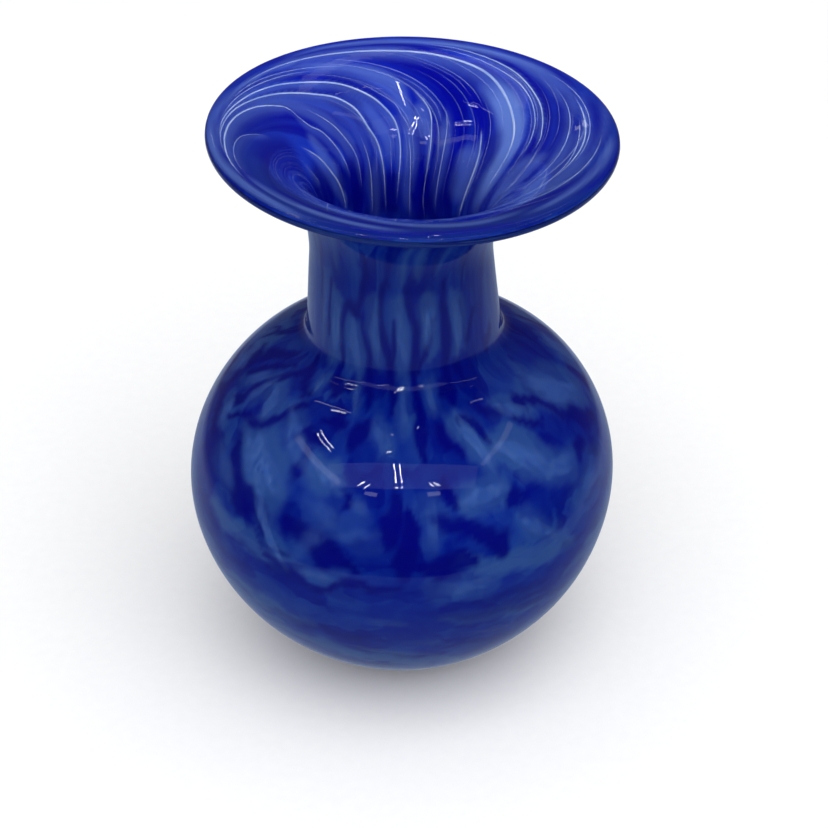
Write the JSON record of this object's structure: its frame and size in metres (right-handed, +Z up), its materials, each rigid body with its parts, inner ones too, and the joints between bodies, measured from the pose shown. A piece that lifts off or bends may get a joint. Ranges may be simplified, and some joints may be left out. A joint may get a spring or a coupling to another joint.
{
  "type": "hand blown art glass vase",
  "caption": "Round-bodied blown glass vase with a short neck and a wide flared mouth, mottled blue glass cased in clear.",
  "frame": {"origin": "centre of the resting ring, on the plane the vase stands on", "axes": "+Z up along the axis of the vase, towards the mouth; -Y towards the viewer of the picture; +X to the viewer's right"},
  "size_m": [0.126, 0.126, 0.1705],
  "materials": {
    "clear_glass": "fire-polished, gloss",
    "powder_blue_frit": "fused, translucent",
    "cobalt_glass": "fused, translucent",
    "pale_blue_trails": "fused, opal",
    "core_glass": "fire-polished, gloss",
    "pontil_glass": "cracked off and ground"
  },
  "bodies": {
    "root": {"clear_casing": "clear_glass", "frit_chips": "powder_blue_frit", "cobalt_layer": "cobalt_glass", "drawn_trails": "pale_blue_trails", "inner_core": "core_glass", "pontil_seal": "pontil_glass"}
  },
  "joints": []
}
